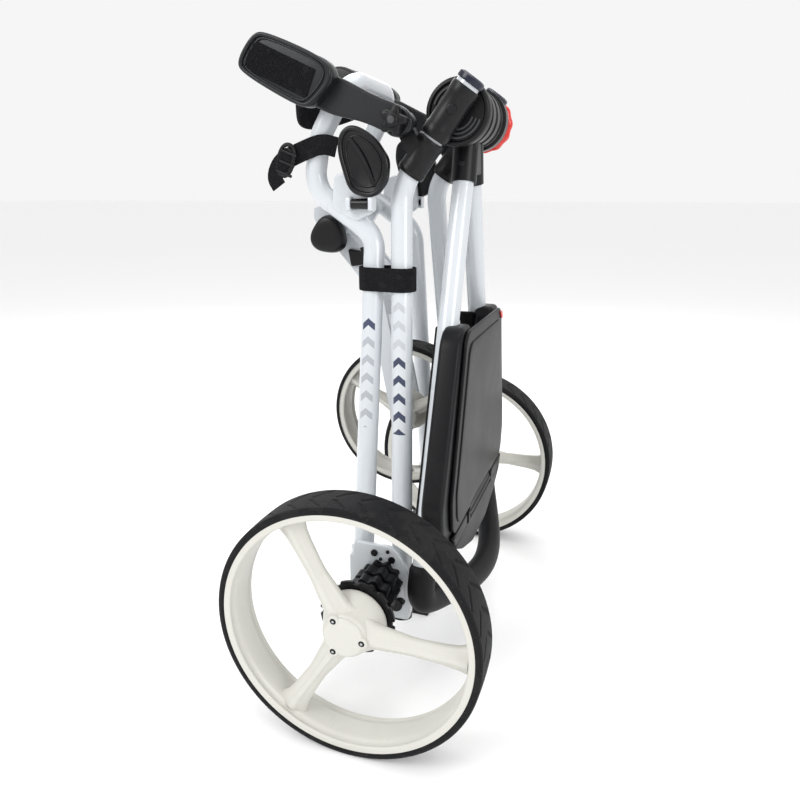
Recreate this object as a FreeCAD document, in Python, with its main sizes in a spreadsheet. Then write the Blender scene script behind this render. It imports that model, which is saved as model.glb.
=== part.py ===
import FreeCAD, Part
import math
import os
import Sketcher
from FreeCAD import Placement, Rotation, Vector

# Golf push trolley, folded, standing on its two rear wheels and a parking stand.
# +Z is up and the trolley faces -X.  Left is -Y.  The origin lies on the floor.

doc = FreeCAD.newDocument("golf_push_trolley")
sheet = doc.addObject("Spreadsheet::Sheet", "sizes")

# Driving dimensions in millimetres.  Places are measured from the rear wheel axis.
SIZES = [
    ("wheel_radius", "150"),        # rear tyre, outer
    ("wheel_lip", "=wheel_radius - 8.5"),       # rear rim, outer
    ("wheel_barrel", "=wheel_radius - 18"),     # rear rim, inner
    ("wheel_width", "49"),
    ("track_half", "265"),          # rear wheel centre plane from the middle
    ("front_radius", "98.5"),
    ("front_lip", "=front_radius - 5.8"),
    ("front_barrel", "=front_radius - 13.5"),
    ("front_width", "42"),
    ("front_wheel_x", "-25"),
    ("front_wheel_z", "158"),
    ("tube_outer", "25"),
    ("tube_wall", "1.6"),
    ("axle_outer", "16"),
    ("running_gap", "0.05"),        # radial, shaft in its bore
    ("cradle_reach", "186"),        # front end of the bag wings
    ("cradle_height", "611"),       # top of the bag wings
    ("pivot_x", "17.5"),            # frame fold
    ("pivot_z", "-30"),
    ("fork_pivot_x", "-110"),
    ("fork_pivot_z", "395"),
    ("handle_x", "51"),
    ("hinge_z", "530"),
    ("hinge_radius", "36"),
    ("bolt_radius", "5"),
    ("sleeve_wall", "3.2"),
    ("grip_outer", "32"),
    ("knob_x", "-5"),
    ("knob_z", "518"),
    ("hoop_x", "-72"),
    ("hoop_z", "566"),
    ("bracket_y", "161"),           # inner face of the axle brackets
    ("bracket_thick", "5"),
    ("console_face", "76"),
    ("console_depth", "26"),
    ("lid_pin_z", "50"),
    ("stand_front", "50"),
    ("stand_back", "42"),
]
for row, (alias, number) in enumerate(SIZES, start=1):
    sheet.set("A%d" % row, alias)
    sheet.set("B%d" % row, number)
    sheet.setAlias("B%d" % row, alias)
doc.recompute()


def size(alias):
    return float(sheet.get(alias))


# The origin is under the middle of the trolley's length, on the floor.
FRAME_X = (size("cradle_reach") - size("wheel_radius")) / 2
FRAME_Z = size("wheel_radius")
TUBE = "sizes.tube_outer / 2"
TUBE_R = size("tube_outer") / 2
SLEEVE = "sizes.tube_outer / 2 + sizes.sleeve_wall"
BOLT = "sizes.bolt_radius"
BORE = "sizes.bolt_radius + sizes.running_gap"
ALONG_Y = Rotation(Vector(1, 0, 0), -90)       # local Z to +Y
SIDE_ON = Rotation(Vector(1, 0, 0), 90)        # local X, Y to X, Z and local Z to -Y
FACE_ON = Rotation(Vector(1, 1, 1), 120)       # local X, Y, Z to Y, Z, X
SIDES = (("left", -1), ("right", 1))
NODES = []


def at(x, y, z):
    return Vector(x + FRAME_X, y, z + FRAME_Z)


def node(name, item):
    """Name an object as one of the trolley's sub-parts."""
    item.Label = name
    NODES.append(item)
    return item


def bind(item, **expressions):
    for prop, expression in expressions.items():
        item.setExpression(prop, expression)
    return item


def rod(name, radius, start, end):
    """A cylinder between two points, its radius tied to the sheet."""
    item = doc.addObject("Part::Cylinder", name)
    bind(item, Radius=radius)
    item.Height = (end - start).Length
    item.Placement = Placement(start, Rotation(Vector(0, 0, 1), end - start))
    return item


def pin(name, radius, x, z, low, high):
    """A cylinder across the trolley from y = low to y = high."""
    return rod(name, radius, at(x, low, z), at(x, high, z))


def block(name, low, high):
    item = doc.addObject("Part::Box", name)
    item.Length, item.Width, item.Height = (high[i] - low[i] for i in range(3))
    item.Placement = Placement(at(*low), Rotation())
    return item


def fuse(name, *items):
    item = doc.addObject("Part::MultiFuse", name)
    item.Shapes = list(items)
    return item


def cut(name, base, *tools):
    item = doc.addObject("Part::Cut", name)
    item.Base = base
    item.Tool = tools[0] if len(tools) == 1 else fuse(name + "_tools", *tools)
    return item


def route(points, radii):
    """Straight runs joined by tangent arcs at the inner points."""
    edges, last = [], points[0]
    for before, corner, after, radius in zip(points, points[1:], points[2:], radii):
        u = (before - corner).normalize()
        v = (after - corner).normalize()
        half = math.acos(u.dot(v)) / 2
        reach = radius / math.tan(half)
        bisector = (u + v).normalize()
        centre = corner + bisector * (radius / math.sin(half))
        first, second = corner + u * reach, corner + v * reach
        edges.append(Part.LineSegment(last, first).toShape())
        edges.append(Part.Arc(first, centre - bisector * radius, second).toShape())
        last = second
    edges.append(Part.LineSegment(last, points[-1]).toShape())
    return Part.Wire(edges)


def swept(name, radius, points, radii):
    """A round bar along a route, its radius tied to the sheet."""
    spine = doc.addObject("Part::Feature", name + "_route")
    spine.Shape = route(points, radii)
    ring = bind(doc.addObject("Part::Circle", name + "_ring"), Radius=radius)
    heading = points[1] - points[0]
    ring.Placement = Placement(points[0], Rotation(Vector(0, 0, 1), heading))
    item = doc.addObject("Part::Sweep", name)
    item.Sections = [ring]
    item.Spine = (spine, ["Edge%d" % (i + 1) for i in range(len(spine.Shape.Edges))])
    item.Solid = True
    item.Frenet = False
    return item


def tube_pair(name, points, radii):
    """The full bar and the bore of one bent tube."""
    inner = "sizes.tube_outer / 2 - sizes.tube_wall"
    return swept(name + "_bar", TUBE, points, radii), swept(name + "_bore", inner, points, radii)


def new_body(name, placement):
    body = doc.addObject("PartDesign::Body", name)
    body.Placement = placement
    return body


def new_sketch(body, name):
    sketch = body.newObject("Sketcher::SketchObject", name)
    base = [f for f in body.Origin.OriginFeatures if f.Role == "XY_Plane"][0]
    sketch.AttachmentSupport = [(base, "")]
    sketch.MapMode = "FlatFace"
    return sketch


def add_polygon(sketch, corners):
    first = sketch.GeometryCount
    count = len(corners)
    for i in range(count):
        a, b = corners[i], corners[(i + 1) % count]
        line = Part.LineSegment(Vector(a[0], a[1], 0), Vector(b[0], b[1], 0))
        sketch.addGeometry(line, False)
    for i in range(count):
        joined = Sketcher.Constraint("Coincident", first + i, 2, first + (i + 1) % count, 1)
        sketch.addConstraint(joined)


def add_circle(sketch, radius, x=0.0, y=0.0):
    """A circle whose radius is tied to the sheet."""
    circle = Part.Circle(Vector(x, y, 0), Vector(0, 0, 1), 1.0)
    index = sketch.addGeometry(circle, False)
    held = sketch.addConstraint(Sketcher.Constraint("Radius", index, 1.0))
    sketch.setExpression("Constraints[%d]" % held, radius)


def pad(body, sketch, length):
    item = body.newObject("PartDesign::Pad", sketch.Name + "_pad")
    item.Profile = sketch
    if isinstance(length, str):
        bind(item, Length=length)
    else:
        item.Length = length
    return item


def plate(name, corners, low, high):
    """A flat piece seen from the side: corners are x, z pairs, low and high are y."""
    body = new_body(name, Placement(at(0, high, 0), SIDE_ON))
    sketch = new_sketch(body, name + "_outline")
    add_polygon(sketch, corners)
    pad(body, sketch, high - low)
    return body


def slab(name, corners, low, high):
    """A flat piece seen from the back: corners are y, z pairs, low and high are x."""
    body = new_body(name, Placement(at(low, 0, 0), FACE_ON))
    sketch = new_sketch(body, name + "_outline")
    add_polygon(sketch, corners)
    pad(body, sketch, high - low)
    return body


def ring(name, corners, x, y, z):
    """A turned ring on a crosswise axis: corners are axial, radial pairs."""
    body = new_body(name, Placement(at(x, y, z), Rotation(Vector(0, 0, 1), 90)))
    sketch = new_sketch(body, name + "_section")
    add_polygon(sketch, corners)
    turned = body.newObject("PartDesign::Revolution", name + "_turned")
    turned.Profile = sketch
    turned.ReferenceAxis = (sketch, ["H_Axis"])
    turned.Angle = 360
    return body


def repeat(body, feature, sketch, count):
    pattern = body.newObject("PartDesign::PolarPattern", feature.Name + "_round")
    pattern.Originals = [feature]
    pattern.Axis = (sketch, ["N_Axis"])
    pattern.Angle = 360
    pattern.Occurrences = count
    body.Tip = pattern
    return pattern


def lobed(name, radius, hollow, count, bite, length, low, x, z, bore):
    """A knob with scooped edges on a crosswise axis, from y = low upwards."""
    high = low + length
    body = new_body(name + "_wheel", Placement(at(x, high, z), SIDE_ON))
    disc = new_sketch(body, name + "_disc")
    add_circle(disc, "%g" % radius)
    pad(body, disc, length)
    scoop = new_sketch(body, name + "_scoop")
    add_circle(scoop, "%g" % hollow, radius + hollow - bite, 0)
    pocket = body.newObject("PartDesign::Pocket", name + "_pocket")
    pocket.Profile = scoop
    pocket.Type = 1
    pocket.Reversed = True
    repeat(body, pocket, scoop, count)
    hole = pin(name + "_hole", bore, x, z, low - 1, high + 1)
    return cut(name + "_cut", body, hole)


# ---- Upper frame: two bent tubes with their sleeves, feet and caps ----
UPPER_TOP = Vector(70.7, 68, 563)
UPPER_BEND = Vector(-8.9, 70, 452)
UPPER_FOOT = Vector(18.3, 147, -52)
LEAN = (UPPER_TOP - UPPER_BEND).normalize()


def mirrored(point, side):
    return at(point.x, side * point.y, point.z)


def on_neck(distance):
    """A point on the leaning end of the upper tube, measured back from its top."""
    return UPPER_TOP - LEAN * distance


def neck_sleeve(name, side, low, high):
    return rod(name, SLEEVE, mirrored(on_neck(high), side), mirrored(on_neck(low), side))


upper_bars = {}
feet, caps = [], []
for tag, side in SIDES:
    stops = [mirrored(p, side) for p in (UPPER_FOOT, UPPER_BEND, on_neck(8))]
    bar, bore = tube_pair("upper_" + tag, stops, [60])
    upper_bars[tag] = bar
    pivot = pin("upper_pivot_" + tag, BORE, size("pivot_x"), size("pivot_z"),
                min(side * 125, side * 175), max(side * 125, side * 175))
    bolt_way = pin("upper_bolt_way_" + tag, BOLT, size("handle_x"), size("hinge_z"),
                   min(side * 50, side * 90), max(side * 50, side * 90))
    node("upper_tube_" + tag, cut("upper_tube_" + tag, bar, bore, pivot, bolt_way))
    heading = (UPPER_FOOT - UPPER_BEND).normalize()
    feet.append(rod("foot_" + tag, TUBE, mirrored(UPPER_FOOT, side),
                    mirrored(UPPER_FOOT + heading * 8, side)))
    caps.append(rod("cap_" + tag, SLEEVE, mirrored(on_neck(8), side), mirrored(UPPER_TOP, side)))
node("tube_feet", fuse("tube_feet", *feet))
node("tube_caps", fuse("tube_caps", *caps))

# ---- Handle hinge: a sleeve and a toothed disc on each tube, one bolt through all ----
for tag, side in SIDES:
    sleeve = neck_sleeve("hinge_sleeve_" + tag, side, 12, 72)
    disc = pin("hinge_disc_" + tag, "sizes.hinge_radius", size("handle_x"), size("hinge_z"),
               *sorted((side * 42, side * 57)))
    way = pin("hinge_way_" + tag, BOLT, size("handle_x"), size("hinge_z"), -95, 95)
    room = rod("cap_room_" + tag, SLEEVE + " + 0.5", mirrored(on_neck(10), side),
               mirrored(on_neck(-10), side))
    housing = cut("hinge_housing_" + tag, fuse("hinge_shell_" + tag, sleeve, disc),
                  upper_bars[tag], way, room)
    node("hinge_housing_" + tag, housing)
shank = pin("hinge_shank", BOLT, size("handle_x"), size("hinge_z"), -85, 101)
head = pin("hinge_head", "sizes.bolt_radius * 1.9", size("handle_x"), size("hinge_z"), -91, -85)
node("hinge_bolt", fuse("hinge_bolt", shank, head))
lock_knob = lobed("locking", 32, 12, 8, 3, 16, 86, size("handle_x"), size("hinge_z"), BORE)
node("lock_knob", lock_knob)

# ---- Cradle clamps, bag wings with their belt, and the star knobs ----
KNOB_X, KNOB_Z = size("knob_x"), size("knob_z")
for tag, side in SIDES:
    sleeve = neck_sleeve("clamp_sleeve_" + tag, side, 76, 120)
    lug = pin("clamp_lug_" + tag, "13", KNOB_X, KNOB_Z, *sorted((side * 68, side * 86)))
    middle = on_neck(98)
    reach = Vector(KNOB_X - middle.x, 0, KNOB_Z - middle.z)
    web = doc.addObject("Part::Box", "clamp_web_" + tag)
    web.Length, web.Width, web.Height = 18, 14, reach.Length
    turn = Rotation(Vector(0, 0, 1), reach)
    corner = at(middle.x, min(side * 70, side * 84), middle.z) - turn.multVec(Vector(9, 0, 0))
    web.Placement = Placement(corner, turn)
    way = pin("clamp_way_" + tag, BORE, KNOB_X, KNOB_Z, *sorted((side * 60, side * 90)))
    clamp = cut("cradle_clamp_" + tag, fuse("clamp_shell_" + tag, sleeve, lug, web),
                upper_bars[tag], way)
    node("cradle_clamp_" + tag, clamp)

REACH, HEIGHT = size("cradle_reach"), size("cradle_height")
ARM = [(KNOB_X + 9, KNOB_Z - 10), (KNOB_X + 12, KNOB_Z + 4), (KNOB_X, KNOB_Z + 13),
       (-85, HEIGHT - 36), (-108, HEIGHT - 36), (-108, HEIGHT - 73), (KNOB_X - 6, KNOB_Z - 13)]
PAD = [(-84, HEIGHT - 35), (-REACH + 35, HEIGHT), (-REACH + 18, HEIGHT - 4),
       (-REACH, HEIGHT - 28), (-REACH + 5, HEIGHT - 38), (-110, HEIGHT - 75), (-96, HEIGHT - 70)]
for tag, side in SIDES:
    arm = plate("wing_arm_" + tag, ARM, *sorted((side * 88, side * 100)))
    rest = plate("wing_pad_" + tag, PAD, *sorted((side * 92, side * 116)))
    way = pin("wing_way_" + tag, BORE, KNOB_X, KNOB_Z, *sorted((side * 80, side * 120)))
    node("bag_wing_" + tag, cut("bag_wing_" + tag, fuse("wing_" + tag, arm, rest), way))
    stud = pin("star_stud_" + tag, BOLT, KNOB_X, KNOB_Z, *sorted((side * 70, side * 108)))
    star = lobed("star_" + tag, 16, 6, 5, 3, 15, min(side * 102, side * 117),
                 KNOB_X, KNOB_Z, BOLT)
    node("star_knob_" + tag, fuse("star_knob_" + tag, star, stud))
belt_parts = []
BELT_LOW, BELT_HIGH = HEIGHT - 60, HEIGHT - 18
for tag, side in SIDES:
    run = new_body("belt_run_" + tag, Placement(at(0, 0, BELT_LOW), Rotation()))
    outline = new_sketch(run, "belt_outline_" + tag)
    add_polygon(outline, [(-118, side * 91), (-122, side * 91), (-160, side * 20),
                          (-160, 0), (-156, 0), (-156, side * 20)])
    pad(run, outline, BELT_HIGH - BELT_LOW)
    belt_parts.append(run)
node("cradle_belt", fuse("cradle_belt", *belt_parts))

# ---- Lower frame: two S-bent tubes, the hoop, and what is clamped on them ----
HOOP_CORNER = Vector(size("hoop_x"), 72, size("hoop_z"))
SHOULDER = Vector(-107, 75, 507)
HOOP_FOOT = SHOULDER + (HOOP_CORNER - SHOULDER) * 0.33
LOWER = [Vector(-34, 147, -20), Vector(-40.5, 75, 397), Vector(-117, 75, 450), SHOULDER,
         HOOP_FOOT]
lower_bars = {}
for tag, side in SIDES:
    bar, bore = tube_pair("lower_" + tag, [mirrored(p, side) for p in LOWER], [34, 36, 60])
    lower_bars[tag] = bar
    node("lower_tube_" + tag, cut("lower_tube_" + tag, bar, bore))
HOOP = [mirrored(HOOP_FOOT, -1), mirrored(HOOP_CORNER, -1), mirrored(HOOP_CORNER, 1),
        mirrored(HOOP_FOOT, 1)]
hoop_bar, hoop_bore = tube_pair("hoop", HOOP, [40, 40])
node("bag_hoop", cut("bag_hoop", hoop_bar, hoop_bore))

for tag, side in SIDES:
    outline = [(-88, 430), (-84, 463), (-70, 468), (-41, 460), (-38, 426), (-58, 414)]
    face = plate("clevis_face_" + tag, outline, *sorted((side * 80, side * 88)))
    ears = [block("clevis_ear_%s_%d" % (tag, i), (x, min(side * 87, side * 100), 426),
                  (x + 5, max(side * 87, side * 100), 440)) for i, x in enumerate((-66, -39))]
    clevis_pin = rod("clevis_pin_" + tag, "3", at(-66, side * 94, 433), at(-34, side * 94, 433))
    clevis = cut("cup_clevis_" + tag, fuse("clevis_" + tag, face, clevis_pin, *ears),
                 lower_bars[tag])
    node("cup_clevis_" + tag, clevis)
    shield = [(-60, 447), (-66, 466), (-73, 490), (-71, 507), (-62, 515), (-50, 514),
              (-31, 503), (-15, 480), (-17, 457), (-29, 444), (-44, 444)]
    cup = plate("cup_shield_" + tag, shield, *sorted((side * 90, side * 102)))
    neck = block("cup_neck_" + tag, (-60, min(side * 91, side * 98), 433),
                 (-40, max(side * 91, side * 98), 450))
    knuckle = rod("cup_knuckle_" + tag, "6", at(-60, side * 94, 433), at(-40, side * 94, 433))
    way = rod("cup_way_" + tag, "3 + sizes.running_gap", at(-62, side * 94, 433),
              at(-38, side * 94, 433))
    node("bag_cup_" + tag, cut("bag_cup_" + tag, fuse("cup_" + tag, cup, neck, knuckle), way))

# ---- Axle brackets, hub carriers, cross tube, parking stand and brake pedal ----
BRACKET_Y, THICK = size("bracket_y"), size("bracket_thick")
TRACK = size("track_half")
PIVOT_X, PIVOT_Z = size("pivot_x"), size("pivot_z")
SCREW_SPOTS = ((-10, 34), (12, 28))
bolts, screws = [], []
for tag, side in SIDES:
    outline = [(-37, -20), (-28, -44), (6, -50), (32, -50), (34, -36), (33.5, 0), (30, 14),
               (23, 30), (12, 43), (-36, 43)]
    low, high = sorted((side * BRACKET_Y, side * (BRACKET_Y + THICK)))
    web = plate("bracket_plate_" + tag, outline, low, high)
    foot, top = LOWER[0], LOWER[1]
    climb = (top - foot).normalize()
    socket = rod("bracket_socket_" + tag, SLEEVE, mirrored(foot - climb * 6, side),
                 mirrored(foot + climb * 44, side))
    seat = pin("bracket_seat_" + tag, "sizes.axle_outer / 2", -12, -8,
               *sorted((side * 110, side * BRACKET_Y)))
    tab = block("bracket_tab_" + tag, (-44, min(side * 150, side * (BRACKET_Y + 1)), -16),
                (-24, max(side * 150, side * (BRACKET_Y + 1)), 22))
    way = pin("bracket_way_" + tag, BOLT, PIVOT_X, PIVOT_Z, *sorted((side * 140, side * 180)))
    holes = [pin("screw_way_%s_%d" % (tag, i), "2.5", x, z, *sorted((side * 155, side * 170)))
             for i, (x, z) in enumerate(SCREW_SPOTS)]
    bracket = cut("axle_bracket_" + tag, fuse("bracket_" + tag, web, socket, tab),
                  lower_bars[tag], way, seat, *holes)
    node("axle_bracket_" + tag, bracket)
    outer = side * (BRACKET_Y + THICK)
    bolts.append(pin("pivot_shank_" + tag, BOLT, PIVOT_X, PIVOT_Z, *sorted((side * 128, outer))))
    bolts.append(pin("pivot_head_" + tag, "sizes.bolt_radius * 1.7", PIVOT_X, PIVOT_Z,
                     *sorted((outer, outer + side * 5))))
    for i, (x, z) in enumerate(SCREW_SPOTS):
        screws.append(pin("screw_%s_%d" % (tag, i), "2.5", x, z,
                          *sorted((side * BRACKET_Y, outer))))
        screws.append(pin("screw_head_%s_%d" % (tag, i), "4.2", x, z,
                          *sorted((outer, outer + side * 2.5))))
    carrier = pin("carrier_barrel_" + tag, "22", 0, 0, *sorted((outer, side * (TRACK - 37))))
    stub = pin("carrier_stub_" + tag, "sizes.axle_outer / 2", 0, 0,
               *sorted((side * (TRACK - 38), side * (TRACK + 12))))
    rings = [pin("carrier_ring_%s_%d" % (tag, i), "26", 0, 0,
                 *sorted((side * (186 + 14 * i), side * (193 + 14 * i)))) for i in range(3)]
    node("hub_carrier_" + tag, fuse("hub_carrier_" + tag, carrier, stub, *rings))
node("pivot_bolts", fuse("pivot_bolts", *bolts))
node("bracket_screws", fuse("bracket_screws", *screws))
cross = pin("cross_tube", "sizes.axle_outer / 2", -12, -8, -BRACKET_Y, BRACKET_Y)
node("cross_tube", cross)

floor = -size("wheel_radius")
stand_foot = block("stand_foot", (-size("stand_front"), -16, floor), (size("stand_back"), 16, floor + 8))
stand_leg = block("stand_leg", (-34, -9, floor + 7), (-19, 9, -14))
stand_clamp = pin("stand_clamp", "13", -12, -8, -15, 15)
stand = cut("parking_stand", fuse("stand_shell", stand_foot, stand_leg, stand_clamp),
            pin("stand_way", "sizes.axle_outer / 2", -12, -8, -20, 20))
node("parking_stand", stand)
pedal_hub = pin("pedal_hub", "12.5", -12, -8, 44, 84)
pedal_arm = block("pedal_arm", (-6, 54, -36), (26, 74, -28))
pedal_neck = block("pedal_neck", (-19, 54, -36), (-5, 74, -16))
pedal = cut("brake_pedal", fuse("pedal_shell", pedal_hub, pedal_arm, pedal_neck),
            pin("pedal_way", "sizes.axle_outer / 2 + sizes.running_gap", -12, -8, 40, 90))
node("brake_pedal", pedal)

# ---- Wheels: tyre, rim, three-spoke centre, hub cap and brake ring ----
def wheel_ring(name, half, lip, outer, x, y, z):
    tread = [(-half + 0.6, lip), (-half, lip + 0.4 * (outer - lip)), (-half + 4, outer - 1),
             (-half / 3, outer), (half / 3, outer), (half - 4, outer - 1),
             (half, lip + 0.4 * (outer - lip)), (half - 0.6, lip)]
    return ring(name, tread, x, y, z)


def rim_ring(name, half, lip, barrel, x, y, z):
    section = [(-half, lip), (-half, lip - 5), (-half + 8, barrel + 1), (-half + 13, barrel),
               (half - 13, barrel), (half - 8, barrel + 1), (half, lip - 5), (half, lip)]
    return ring(name, section, x, y, z)


def spoked_centre(name, hub, bore, barrel, thick, deep, turn, x, y_out, z):
    """Hub and three spokes; the outer face is at y_out and the hub is deep."""
    side = 1 if y_out > 0 else -1
    base = y_out if side > 0 else y_out + deep
    body = new_body(name + "_casting", Placement(at(x, base, z), SIDE_ON))
    boss = new_sketch(body, name + "_boss")
    add_circle(boss, hub)
    pad(body, boss, deep)
    blade = new_sketch(body, name + "_blade")
    reach = math.sqrt(barrel ** 2 - (0.11 * barrel) ** 2)
    c, s = math.cos(turn), math.sin(turn)
    half_blade = [(0.1, 0.11), (0.45, 0.06), (0.8, 0.062)]
    outline = [(k * barrel, -w * barrel) for k, w in half_blade] + [(reach, -0.11 * barrel)]
    outline += [(u, -v) for u, v in reversed(outline)]
    add_polygon(blade, [(u * c - v * s, u * s + v * c) for u, v in outline])
    spoke = body.newObject("PartDesign::Pad", name + "_spoke")
    spoke.Profile = blade
    spoke.Length = thick
    if side < 0:
        blade.AttachmentOffset = Placement(Vector(0, 0, deep - thick), Rotation())
    repeat(body, spoke, blade, 3)
    ends = sorted((y_out + side * 5, y_out - side * (deep + 5)))
    return cut(name, body, pin(name + "_axle_way", bore, x, z, *ends))


HALF = size("wheel_width") / 2
AXLE_BORE = "sizes.axle_outer / 2 + sizes.running_gap"
for tag, side in SIDES:
    y = side * TRACK
    node("tyre_" + tag, wheel_ring("tyre_" + tag, HALF, size("wheel_lip"),
                                   size("wheel_radius"), 0, y, 0))
    node("rim_" + tag, rim_ring("rim_" + tag, HALF - 1, size("wheel_lip"),
                                size("wheel_barrel"), 0, y, 0))
    centre = spoked_centre("spokes_" + tag, "26", AXLE_BORE, size("wheel_barrel"), 16, 36,
                           math.radians(-2), 0, y + side * 19, 0)
    node("spokes_" + tag, centre)
    node("hub_cap_" + tag, pin("hub_cap_" + tag, "24", 0, 0, *sorted((y + side * 19, y + side * 23))))
    brake = lobed("brake_" + tag, 44, 6, 12, 3, 4, min(y - side * 17, y - side * 21), 0, 0,
                  AXLE_BORE)
    node("brake_ring_" + tag, brake)

# ---- Front fork with its wheel, pin and knob ----
FX, FZ = size("fork_pivot_x"), size("fork_pivot_z")
WX, WZ = size("front_wheel_x"), size("front_wheel_z")
FRONT_HALF = size("front_width") / 2
EX, EZ = FX + 48, FZ - 57                      # where the blade turns down to the wheel
BLADE = [(FX - 13, FZ + 3), (FX - 8, FZ + 12), (FX + 5, FZ + 13), (FX + 15, FZ + 5),
         (EX + 10, EZ + 14), (EX + 12, EZ - 6), (WX + 11, WZ + 4), (WX + 6, WZ - 10),
         (WX - 7, WZ - 10), (WX - 11, WZ), (EX - 9, EZ - 8), (EX - 18, EZ + 6),
         (FX + 3, FZ - 20), (FX - 11, FZ - 8)]
CROWN = [(FX - 12, FZ + 3), (FX - 7, FZ + 11), (FX + 5, FZ + 12), (FX + 14, FZ + 4),
         (EX + 9, EZ + 13), (EX + 11, EZ - 6), (EX + 16, EZ - 44), (EX - 1, EZ - 44),
         (EX - 8, EZ - 8), (EX - 17, EZ + 6), (FX + 3, FZ - 19), (FX - 10, FZ - 8)]
blade_in = FRONT_HALF + 4
fork_parts = [plate("fork_crown", CROWN, -blade_in - 1, blade_in + 1)]
for tag, side in SIDES:
    fork_parts.append(plate("fork_blade_" + tag, BLADE,
                            *sorted((side * blade_in, side * (blade_in + 7)))))
fork = cut("front_fork", fuse("fork_shell", *fork_parts), pin("fork_way", BORE, FX, FZ, -60, 60),
           pin("fork_axle_way", "6", WX, WZ, -60, 60))
node("front_fork", fork)
node("front_axle", pin("front_axle", "6", WX, WZ, -blade_in - 10, blade_in + 10))
EAR_IN, EAR_OUT = blade_in + 9, blade_in + 17
bar = pin("fork_bar", "9", -88, 428, -70, 70)
EAR = [(FX - 14, FZ + 2), (FX - 8, FZ - 10), (FX + 6, FZ - 12), (FX + 13, FZ - 4),
       (FX + 34, FZ + 29), (FX + 32, FZ + 43), (FX + 14, FZ + 44), (FX - 24, FZ + 32),
       (FX - 25, FZ + 20)]
ears = [plate("fork_ear_" + tag, EAR, *sorted((side * EAR_IN, side * EAR_OUT)))
        for tag, side in SIDES]
bracket = cut("fork_bracket", fuse("fork_bracket_shell", bar, *ears), lower_bars["left"],
              lower_bars["right"], pin("fork_bracket_way", BOLT, FX, FZ, -60, 60))
node("fork_bracket", bracket)
node("fork_pin", pin("fork_pin", BOLT, FX, FZ, -EAR_OUT - 20, EAR_OUT + 3))
tri = lobed("fork_grip", 23.5, 30, 3, 4, 20, -EAR_OUT - 21, FX, FZ, BORE)
node("fork_knob", tri)
node("front_tyre", wheel_ring("front_tyre", FRONT_HALF, size("front_lip"), size("front_radius"),
                              WX, 0, WZ))
node("front_rim", rim_ring("front_rim", FRONT_HALF - 1, size("front_lip"), size("front_barrel"),
                           WX, 0, WZ))
front = spoked_centre("front_spokes", "20", "6 + sizes.running_gap", size("front_barrel"), 14,
                      2 * FRONT_HALF - 2, math.radians(30), WX, FRONT_HALF - 1, WZ)
node("front_spokes", front)

# ---- Handle: hub, two splayed tubes, grip loop and scorecard console ----
HX, HZ = size("handle_x"), size("hinge_z")
ARM_TOP = Vector(HX, 15, HZ - 54)
ARM_END = Vector(HX, 168, 24)
handle_bars = {}
for tag, side in SIDES:
    top, end = mirrored(ARM_TOP, side), mirrored(ARM_END, side)
    handle_bars[tag] = rod("handle_bar_" + tag, TUBE, top, end)
    bore = rod("handle_bore_" + tag, "sizes.tube_outer / 2 - sizes.tube_wall", top, end)
    node("handle_tube_" + tag, cut("handle_tube_" + tag, handle_bars[tag], bore))
barrel = pin("hub_barrel", "sizes.hinge_radius - 3", HX, HZ, -40, 40)
socket = block("hub_socket", (HX - 17, -31, HZ - 66), (HX + 17, 31, HZ - 20))
hub = cut("handle_hub", fuse("hub_shell", barrel, socket), handle_bars["left"],
          handle_bars["right"], pin("hub_way", BORE, HX, HZ, -50, 50))
node("handle_hub", hub)
GRIP_ELBOW = ARM_END + (ARM_END - ARM_TOP).normalize() * 35
GRIP = [ARM_END, GRIP_ELBOW, Vector(92, 32, -48)]
grip_stops = [mirrored(p, -1) for p in GRIP] + [mirrored(p, 1) for p in reversed(GRIP)]
node("handle_grip", swept("handle_grip", "sizes.grip_outer / 2", grip_stops, [26, 60, 60, 26]))

FACE, DEPTH = size("console_face"), size("console_depth")
for tag, side in SIDES:
    outline = [(58, 284), (64, 297), (98, 297), (112, 284), (179, 105), (172, 60), (150, 26),
               (96, 26), (88, 70)]
    shell = slab("console_shell_" + tag, [(side * y, z) for y, z in outline],
                 FACE - DEPTH, FACE)
    rib_line = [(56, 290), (62, 290), (150, 34), (144, 34)]
    rib = slab("console_rib_" + tag, [(side * y, z) for y, z in rib_line], HX - 20,
               FACE - DEPTH + 1)
    side_part = cut("console_side_" + tag, fuse("console_box_" + tag, shell, rib),
                    handle_bars[tag])
    node("console_side_" + tag, side_part)
LID_Z = size("lid_pin_z")
lid_x = FACE + 2
floor_bar = slab("console_floor", [(-87, 14), (-40, 4), (40, 4), (87, 14), (91, 42), (-91, 42)],
                 FACE - DEPTH, FACE - 3)
skirt_half = [(40, 0), (96, 18), (132, 38), (144, 57), (76, 57), (76, 43)]
skirt = slab("console_skirt", skirt_half + [(-y, z) for y, z in reversed(skirt_half)],
             FACE, FACE + 6)
skirt_back = slab("console_skirt_back", [(-84, 16), (-38, 3), (38, 3), (84, 16), (84, 42), (-84, 42)],
                  FACE - 4, FACE + 1)
lid_ears = [block("lid_ear_%d" % i, (FACE - 5, y, LID_Z - 9), (FACE + 7, y + 8, LID_Z + 6))
            for i, y in enumerate((-73, 65))]
lid_pin = pin("lid_pin", "2.5", lid_x, LID_Z, -72, 72)
node("console_base", fuse("console_base", floor_bar, skirt, skirt_back, lid_pin, *lid_ears))
lid_half = [(90, 294), (102, 285), (152, 105), (146, 70), (136, 59), (62, 59)]
panel = slab("lid_panel", lid_half + [(-y, z) for y, z in reversed(lid_half)],
             FACE + 0.5, FACE + 6)
knuckle = pin("lid_knuckle", "5", lid_x, LID_Z, -63, 63)
leaf = block("lid_leaf", (lid_x - 1.5, -62, LID_Z + 1), (FACE + 6, 62, LID_Z + 12))
lid = cut("console_lid", fuse("lid_shell", panel, knuckle, leaf),
          pin("lid_way", "2.5 + sizes.running_gap", lid_x, LID_Z, -65, 65))
node("console_lid", lid)

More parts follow.
